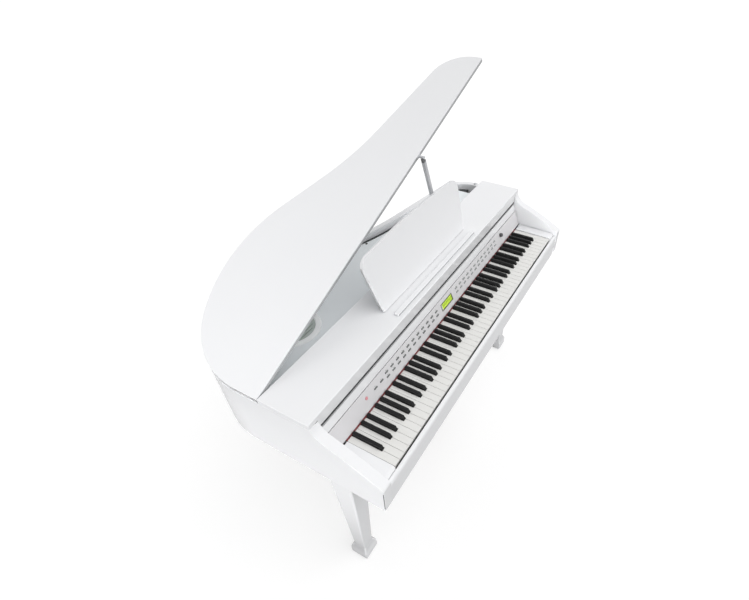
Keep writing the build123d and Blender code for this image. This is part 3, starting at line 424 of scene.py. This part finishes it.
# Metals
grille_metal = grained(
    "grille_metal", (0.44, 0.49, 0.46), (0.52, 0.57, 0.54), 12.0, 900.0, (0.4, 0.6), 0.25,
)
steel = grained(
    "steel", (0.50, 0.51, 0.53), (0.60, 0.61, 0.63), 12.0, 160.0, (0.25, 0.4), 0.15,
    depth=0.0003, stretch=(1, 9, 9), Metallic=1.0,
)
brass = grained(
    "brass", (0.68, 0.47, 0.16), (0.76, 0.55, 0.22), 9.0, 120.0, (0.14, 0.28), 0.06,
    depth=0.0003, stretch=(8, 1, 8), Metallic=1.0,
)

# Lit screen, whose segment blocks are added below, and the clear window over it
screen_lit = grained(
    "screen_lit", (0.60, 0.76, 0.08), (0.66, 0.82, 0.12), 30.0, 1800.0, (0.4, 0.5), 0.05,
    Emission_Strength=0.25,
)
glass, glass_tree, glass_shader = shader(
    "screen_glass", Transmission_Weight=1.0, IOR=1.2, Base_Color=(0.97, 0.99, 0.95, 1.0),
)
smears = add_variation(
    glass_tree, Scale=20.0, Fine_Scale=45.0, Stretch=(1, 1, 1), Rough_Low=0.03, Rough_High=0.1,
)
glass_tree.links.new(smears.outputs["Roughness"], glass_shader.inputs["Roughness"])

# Small and hidden solids keep their own meshes and only get their finish
for node, material in (
    ("keybed", stained_board_and_gap_shade), ("deck_ledger", stained_board_and_gap_shade), ("key_frame", stained_board_and_gap_shade),
    ("speaker_drivers", cone_paper), ("panel_circuit_board", circuit), ("main_circuit_board", circuit),
    ("power_supply", steel), ("screen_window", glass), ("cover_rails", steel),
    ("lid_hinge_base", brass), ("lid_hinge_leaf", brass), ("lyre_braces", brass),
    ("leg_plates", steel), ("leg_screws", steel),
):
    nodes[node].data.materials.clear()
    nodes[node].data.materials.append(material)

# Side panels and tail rim, under a thick gloss lacquer that rounds their edges
LACQUER_STEPS = 4
CASE_ROUND = 0.0040
JOINT_REACH = 0.0005


def at_joint(edge):
    """True for an edge where a side panel butts against the tail rim."""
    return all(abs(vert.co.y - SIDE_END) < JOINT_REACH for vert in edge.verts)


for node in ("left_side_panel", "right_side_panel", "tail_rim"):
    softened(node, lacquer, CASE_ROUND, LACQUER_STEPS, spared=at_joint)

# Lid, desk and ledge, each with a painted shade on one edge face: the lid's front edge, the desk's left side
# and the ledge's front
HINGE_REACH = 0.005
EDGE_UPRIGHT = 0.8
EDGE_FACING = 0.85
EDGE_BLEND = 0.1


def over_hinge(edge):
    """True for the lid's lowest arris, left square so that it meets the rim along the hinge."""
    return sum(vert.co.z for vert in edge.verts) / 2 < LID_BOTTOM + HINGE_REACH


def edge_shaded_board(node, width, edge_way, rise=0.0, spared=None):
    """A rounded board whose edge facing one way gets a painted shade below a line near its mid-thickness."""
    bm = joined_copy(node)
    bm.normal_update()
    widest = sorted(bm.faces, key=lambda face: -face.calc_area())[:2]
    out = max(widest, key=lambda face: face.normal.z).normal.copy()
    line = sum((face.calc_center_median() for face in widest), Vector()) / 2 + out * rise
    round_edges(bm, width, LACQUER_STEPS, spared=spared)
    cut_across(bm, line, out)
    shade_layer = bm.faces.layers.float.new(EDGE_SHADE_ATTRIBUTE)
    way = Vector(edge_way).normalized()
    for face in bm.faces:
        below = (face.calc_center_median() - line).dot(out) < 0
        if below and abs(face.normal.dot(out)) < EDGE_UPRIGHT:
            face[shade_layer] = max(0.0, min(1.0, (face.normal.dot(way) - EDGE_FACING) / EDGE_BLEND))
    dress(node, bm, edge_shaded_lacquer)


edge_shaded_board("lid", width=0.0028, edge_way=(0, -1, 0), rise=0.003, spared=over_hinge)
edge_shaded_board("music_desk", width=0.0032, edge_way=(-1, 0, -0.15))
edge_shaded_board("music_ledge", width=0.0012, edge_way=(0, -1, 0), rise=0.0025)

# The other lacquered boards, legs and lyre, with the width of their rounding
for node, width in (
    ("front_top_board", 0.0020),
    ("key_slip", 0.0020), ("left_key_block", 0.0020), ("right_key_block", 0.0020), ("key_cover", 0.0012),
    ("desk_hinge_blocks", 0.0010),
    ("left_front_leg", 0.0016), ("right_front_leg", 0.0016), ("rear_leg", 0.0016),
    ("lyre_posts", 0.0020), ("pedal_box", 0.0020),
):
    softened(node, lacquer, width, LACQUER_STEPS)

# White keys get the lip that overhangs a key's front, black keys rounded shoulders
KEY_LIP = 0.0024
LIP_BOTTOM = KEY_TOP - 0.0026
LIP_BEHIND = KEY_FRONT + 0.001
FACING_FRONT = -0.9
WHITE_ROUND = 0.0004
BLACK_ROUND = 0.0009


def is_lip(face):
    """True for the top band of a white key's front face."""
    centre = face.calc_center_median()
    return face.normal.y < FACING_FRONT and centre.y < LIP_BEHIND and centre.z > LIP_BOTTOM


for register in ("bass", "middle", "treble"):
    node = f"white_keys_{register}"
    bm = joined_copy(node)
    cut_across(bm, (0, 0, LIP_BOTTOM), (0, 0, 1))
    lips = [face for face in bm.faces if is_lip(face)]
    pushed = bmesh.ops.extrude_discrete_faces(bm, faces=lips)["faces"]
    bmesh.ops.translate(bm, vec=(0, -KEY_LIP, 0), verts=list({v for face in pushed for v in face.verts}))
    round_edges(bm, WHITE_ROUND, 2)
    dress(node, bm, key_white)
    softened(f"black_keys_{register}", key_black, BLACK_ROUND, 3, least=20)

# The remaining pieces: finish, width and steps of the rounding, and the least angle that is rounded
for node, material, width, steps, least in (
    ("control_panel", panel_paint, 0.0004, 2, 30),
    ("left_lower_buttons", bass_button_shaded, 0.0010, 3, 30),
    ("right_lower_buttons", treble_button_lit, 0.0010, 3, 30),
    ("left_upper_buttons", bass_button_shaded, 0.0010, 3, 30),
    ("right_upper_buttons", treble_button_lit, 0.0010, 3, 30),
    ("power_button", power_plastic, 0.0008, 3, 50),
    ("volume_knob", knob_plastic, 0.0006, 3, 30),
    ("screen_module", screen_lit, 0.0004, 2, 30),
    ("felt_strip", felt_red, 0.0006, 2, 30),
    ("sound_deck", deck_paint, 0.0015, 3, 50),
    ("speaker_rings", ring_plastic, 0.0008, 3, 25),
    ("speaker_grilles", grille_metal, 0.0005, 2, 30),
    ("lid_prop", prop_paint, 0.0016, 3, 50),
    ("prop_cap", cap_rubber, 0.0014, 3, 30),
    ("prop_bracket", steel, 0.0008, 2, 30),
    ("lid_catch", prop_paint, 0.0006, 2, 30),
    ("lid_bumpers", bumper_rubber, 0.0008, 3, 50),
    ("leg_glides", foot_rubber, 0.0010, 3, 50),
    ("power_inlet", dark_plastic, 0.0005, 2, 30),
    ("soft_pedal", brass, 0.0022, 3, 50),
    ("sostenuto_pedal", brass, 0.0022, 3, 50),
    ("damper_pedal", brass, 0.0022, 3, 50),
):
    softened(node, material, width, steps, least)

# Painted shade: a dark strip in the slot under the fascia, where the key cover slides out, reaching a little
# up the fascia's front, for the slot's shadow
SLOT_SHADE_HALF = ARM_INNER - 0.002
SLOT_SHADE_FRONT = BOARD_FRONT - 0.0006
SLOT_SHADE_BACK = BOARD_FRONT + 0.0120
SLOT_SHADE_BOTTOM = FASCIA_BOTTOM - 0.0034
SLOT_SHADE_TOP = FASCIA_BOTTOM + 0.0030
add_strip(
    "fascia_slot_shade", (-SLOT_SHADE_HALF, SLOT_SHADE_FRONT, SLOT_SHADE_BOTTOM), (SLOT_SHADE_HALF, SLOT_SHADE_BACK, SLOT_SHADE_TOP),
    width=0.0006, material=seam_black_and_slot_shade, body="cabinet", slot="red_felt",
)

# Painted shade: a grey strip along the top of the key cover's nose, for the shadow under the fascia
cover_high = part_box("key_cover")[1]
NOSE_HALF = cover_high.x - 0.001
NOSE_FRONT = BOARD_FRONT - 0.0030
NOSE_BACK = BOARD_FRONT - 0.0004
NOSE_BOTTOM = cover_high.z - 0.0034
NOSE_TOP = cover_high.z + 0.0004
add_strip(
    "nose_top_shade", (-NOSE_HALF, NOSE_FRONT, NOSE_BOTTOM), (NOSE_HALF, NOSE_BACK, NOSE_TOP),
    width=0.0006, material=nose_shade_grey, body="cover", slot="black_rubber",
)

# Dark seam where the front of the case meets each side panel
SEAM_HALF = 0.0005
SEAM_FRONT = KEY_FRONT - 0.0190
SEAM_BACK = KEY_FRONT - 0.0168
SEAM_BOTTOM = KEY_TOP - 0.082
SEAM_TOP = KEY_TOP - 0.004
for side, x in (("left", -HALF_WIDTH), ("right", HALF_WIDTH)):
    add_strip(
        f"front_seam_{side}", (x - SEAM_HALF, SEAM_FRONT, SEAM_BOTTOM), (x + SEAM_HALF, SEAM_BACK, SEAM_TOP),
        width=0.0002, material=seam_black_and_slot_shade, body="cabinet", slot="black_rubber",
    )

# Painted shade: a dark strip in the gap between the deck and the rim, laid over the ledger, for the shadow
# in the gap
GAP_SHADE_THICK = 0.009
GAP_SHADE_LIFT = 0.0003
ledger_low, ledger_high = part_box("deck_ledger")
ledger_thick = ledger_high.z - ledger_low.z
from_bottom = Matrix.Translation((0, 0, -ledger_low.z))
bm = joined_copy("deck_ledger")
bmesh.ops.scale(bm, vec=(1, 1, GAP_SHADE_THICK / ledger_thick), space=from_bottom, verts=bm.verts[:])
bmesh.ops.translate(bm, vec=(0, 0, ledger_thick + GAP_SHADE_LIFT), verts=bm.verts[:])
finish_piece("deck_gap_shade", bm, gap_shade_dark, "cabinet", "black_rubber")

# Dark plugs over the screws that hold the deck to its ledger, set in from the deck's curved edge
PLUG_PLACES = (-0.44, -0.18, 0.085, 0.34, 0.54)
PLUG_INSET = 0.008
PLUG_RADIUS = 0.0048
PLUG_CROWN_RADIUS = 0.0036
PLUG_SUNK = 0.0005
PLUG_WALL = 0.0007
PLUG_SHOULDER = 0.0016
PLUG_TOP = 0.0019
PLUG_PROFILE = (
    (0.0, -PLUG_SUNK), (PLUG_RADIUS, -PLUG_SUNK), (PLUG_RADIUS, PLUG_WALL),
    (PLUG_CROWN_RADIUS, PLUG_SHOULDER), (0.0, PLUG_TOP),
)
FAR_BEHIND = 3.0
DECK_EDGE_LEVEL = DECK_TOP - 0.005
deck_copy = joined_copy("sound_deck")
deck_shape = BVHTree.FromBMesh(deck_copy)
deck_copy.free()
bm = bmesh.new()
for x in PLUG_PLACES:
    deck_edge = deck_shape.ray_cast(Vector((x, FAR_BEHIND, DECK_EDGE_LEVEL)), Vector((0, -1, 0)))[0]
    add_turned(bm, PLUG_PROFILE, (x, deck_edge.y - PLUG_INSET, DECK_TOP), steps=32)
bmesh.ops.remove_doubles(bm, verts=bm.verts[:], dist=MERGE_DISTANCE)
bmesh.ops.recalc_face_normals(bm, faces=bm.faces[:])
finish_piece("deck_plugs", bm, dark_plastic, "cabinet", "inlet_black")

# Cloth behind the slots of each speaker grille, its radius a share of the grille's width
CLOTH_SHARE = 0.44
CLOTH_SUNK = 0.0004
CLOTH_THICK = 0.0008
for speaker, side in (("bass", -1), ("treble", 1)):
    grille = [vert.co for vert in nodes["speaker_grilles"].data.vertices if vert.co.x * side > 0]
    grille_left, grille_right = extent(grille, Vector((1, 0, 0)))
    grille_front, grille_back = extent(grille, Vector((0, 1, 0)))
    cloth_centre = (
        (grille_left + grille_right) / 2, (grille_front + grille_back) / 2, DECK_TOP - CLOTH_SUNK,
    )
    bm = bmesh.new()
    cloth_radius = (grille_right - grille_left) * CLOTH_SHARE
    bmesh.ops.create_circle(bm, cap_ends=True, segments=48, radius=cloth_radius)
    bmesh.ops.translate(bm, vec=cloth_centre, verts=bm.verts[:])
    thicken(bm, (0, 0, -CLOTH_THICK))
    finish_piece(f"grille_cloth_{speaker}", bm, grille_cloth, "cabinet", "grille_grey")

# Bezel around the screen, laid on the sloped panel and centred over the middle of the keyboard
BEZEL_BEYOND = 0.0022
BEZEL_OVER = 0.0030
BEZEL_THICK = 0.0008
BEZEL_SUNK = 0.0001
BEZEL_ROUND = 0.0003
window = [vert.co for vert in nodes["screen_window"].data.vertices]
window_right = max(point.x for point in window)
window_bottom, window_top = extent(window, PANEL_UP)
window_face = extent(window, PANEL_OUT)[1]
screen_middle = PANEL_UP * ((window_top + window_bottom) / 2) + PANEL_OUT * (window_face - BEZEL_SUNK)
panel_turn = Matrix((Vector((1, 0, 0)), PANEL_UP, PANEL_OUT)).transposed().to_4x4()
bm = bmesh.new()
add_rectangle(bm, window_right + BEZEL_BEYOND, (window_top - window_bottom) / 2 + BEZEL_BEYOND)
opening = bm.faces[:]
bmesh.ops.inset_region(bm, faces=opening, thickness=BEZEL_BEYOND + BEZEL_OVER, use_boundary=True)
bmesh.ops.delete(bm, geom=opening, context="FACES")
thicken(bm, (0, 0, BEZEL_THICK))
round_edges(bm, BEZEL_ROUND, 2)
bmesh.ops.transform(bm, matrix=Matrix.Translation(screen_middle) @ panel_turn, verts=bm.verts[:])
finish_piece("screen_bezel", bm, bezel_plastic, "cabinet", "inlet_black")

# Dim blocks of a plain segment display on the lit screen
BLOCK_HALF_PITCH = 0.0035
BLOCK_HALF_GAP = 0.0013
BLOCK_HALF_HEIGHT = 0.0042
BLOCK_STRENGTH = 0.7
BLOCK_TINT = (0.30, 0.42, 0.04, 1.0)
screen = screen_lit.node_tree
screen_place = screen.nodes.new("ShaderNodeTexCoord")
screen_axes = screen.nodes.new("ShaderNodeSeparateXYZ")
screen.links.new(screen_place.outputs["Object"], screen_axes.inputs[0])
along = math_step(screen, "PINGPONG", screen_axes.outputs["X"], BLOCK_HALF_PITCH)
in_column = math_step(screen, "GREATER_THAN", along, BLOCK_HALF_GAP)
level = math_step(
    screen, "ADD",
    math_step(screen, "MULTIPLY", screen_axes.outputs["Y"], PANEL_UP.y),
    math_step(screen, "MULTIPLY", screen_axes.outputs["Z"], PANEL_UP.z),
)
off_row = math_step(screen, "ABSOLUTE", math_step(screen, "SUBTRACT", level, PANEL_UP.dot(screen_middle)))
in_row = math_step(screen, "LESS_THAN", off_row, BLOCK_HALF_HEIGHT)
block = math_step(screen, "MULTIPLY", in_column, in_row)
dimming = math_step(screen, "MULTIPLY", block, BLOCK_STRENGTH)
screen_colour = colour_mix(screen, dimming, screen.nodes["variation"].outputs["Color"], BLOCK_TINT)
for socket in ("Base Color", "Emission Color"):
    screen.links.new(screen_colour, screen.nodes["Principled BSDF"].inputs[socket])

# Plain printed dash above each button
DASH_HALF_WIDE = 0.0021
DASH_HALF_HIGH = 0.0006
DASH_RISE = 0.0062
INK_THICK = 0.00012
panel_level = extent([vert.co for vert in nodes["control_panel"].data.vertices], PANEL_OUT)[1]
# The dashes take the buttons' finishes, so those on the bass side carry the same painted shade
for side, ink in (("left", bass_button_shaded), ("right", treble_button_lit)):
    bm = bmesh.new()
    for row in ("lower", "upper"):
        buttons = joined_copy(f"{side}_{row}_buttons")
        for button in separate_solids(buttons):
            spot = sum((vert.co for vert in button), Vector()) / len(button) + PANEL_UP * DASH_RISE
            spot += PANEL_OUT * (panel_level - spot.dot(PANEL_OUT))
            dash = add_rectangle(bm, DASH_HALF_WIDE, DASH_HALF_HIGH)
            bmesh.ops.transform(bm, matrix=Matrix.Translation(spot) @ panel_turn, verts=dash)
        buttons.free()
    thicken(bm, PANEL_OUT * INK_THICK)
    finish_piece(f"{side}_button_print", bm, ink, "cabinet", "button_grey")

# Camera at the photograph's viewpoint
camera_data = bpy.data.cameras.new("camera")
camera_data.sensor_width = 36.0
camera_data.lens = 21.954
camera_data.shift_x = -0.0571
camera_data.shift_y = 0.0630
camera_data.clip_start = 0.05
camera_place = Matrix.Translation((-1.1068, KEY_FRONT - 0.3683, KEY_TOP + 1.0576))
camera_right = Vector((0.4996, -0.8662, -0.0125)).normalized()
camera_back = Vector((-0.6034, -0.3583, 0.7124)).normalized()
camera_up = camera_back.cross(camera_right).normalized()
camera_turn = Matrix((camera_right, camera_up, camera_back)).transposed().to_4x4()
camera = add_object("camera", camera_data)
camera.matrix_world = camera_place @ camera_turn
bpy.context.scene.camera = camera

# Light that the object sees, and the white that the camera and reflections see
REFLECTED_SHARE = 0.6


def seen_directly(tree):
    """One where a ray comes from the camera or through glass, less for a reflection, else zero."""
    path = tree.nodes.new("ShaderNodeLightPath")
    reflected = math_step(tree, "MULTIPLY", path.outputs["Is Glossy Ray"], REFLECTED_SHARE)
    clear = math_step(tree, "MAXIMUM", path.outputs["Is Camera Ray"], path.outputs["Is Transmission Ray"])
    return math_step(tree, "MAXIMUM", clear, reflected)


# Plain pale floor, darker in the light that it throws back
FLOOR_HALF = 60.0
FLOOR_THROWN = (0.22, 0.22, 0.225, 1.0)
FLOOR_SEEN = (0.40, 0.40, 0.40, 1.0)
FLOOR_GLOW = 0.65
floor_paint, floor_tree, floor_shader = shader(
    "floor_paint", Roughness=0.9, Specular_IOR_Level=0.0, Emission_Color=(1.0, 1.0, 1.0, 1.0),
)
floor_direct = seen_directly(floor_tree)
floor_colour = colour_mix(floor_tree, floor_direct, FLOOR_THROWN, FLOOR_SEEN)
floor_glow = math_step(floor_tree, "MULTIPLY", floor_direct, FLOOR_GLOW)
floor_tree.links.new(floor_colour, floor_shader.inputs["Base Color"])
floor_tree.links.new(floor_glow, floor_shader.inputs["Emission Strength"])
bm = bmesh.new()
add_rectangle(bm, FLOOR_HALF, FLOOR_HALF)
floor = add_object("floor", to_mesh("floor", bm, floor_paint))


def add_light(name, kind, energy, way):
    """Lamp of a kind, turned to shine one way."""
    data = bpy.data.lights.new(name, kind)
    data.energy = energy
    light = add_object(name, data)
    light.rotation_euler = Vector(way).to_track_quat("-Z", "Y").to_euler()
    return light


def add_broad_light(name, energy, angle, way):
    """Wide soft light from far away, kept out of reflections so that gloss doesn't clip."""
    light = add_light(name, "SUN", energy, way)
    light.data.angle = radians(angle)
    light.visible_glossy = False


# Low softbox on the left, narrowed to the side of the case and the leg
SOFTBOX_PLACE = Vector((-5.0, -0.2, 0.55))
SOFTBOX_AIM = Vector((-0.69, 0.05, 0.57))
softbox = add_light("left_softbox", "AREA", energy=5.1, way=SOFTBOX_AIM - SOFTBOX_PLACE)
softbox.location = SOFTBOX_PLACE
softbox.data.shape = "RECTANGLE"
softbox.data.size = 2.4
softbox.data.size_y = 0.9
softbox.data.spread = radians(12)

# Main light over the player's shoulders, on the keys and under the lid, and a weak fill from behind
add_broad_light("shoulder_light", energy=1.53, angle=80, way=(-0.06, 0.64, -0.77))
add_broad_light("tail_fill", energy=0.55, angle=65, way=(-0.30, -0.78, -0.55))

# Studio tent, brighter towards the player's right, overhead and in front
TENT_LEVEL = 0.43
TENT_SLOPE = (0.26, -0.13, 0.20)
TENT_SEEN = (1.0, 1.0, 1.0, 1.0)
world = bpy.data.worlds.new("studio")
bpy.context.scene.world = world
world.use_nodes = True
tent = world.node_tree
tent_coords = tent.nodes.new("ShaderNodeTexCoord")
tent_slope = tent.nodes.new("ShaderNodeVectorMath")
tent_slope.operation = "DOT_PRODUCT"
tent_slope.inputs[1].default_value = TENT_SLOPE
tent.links.new(tent_coords.outputs["Generated"], tent_slope.inputs[0])
tent_level = math_step(tent, "ADD", tent_slope.outputs["Value"], TENT_LEVEL)
tent_colour = colour_mix(tent, seen_directly(tent), tent_level, TENT_SEEN)
tent.links.new(tent_colour, tent.nodes["Background"].inputs["Color"])
bpy.context.scene.view_settings.view_transform = "Standard"
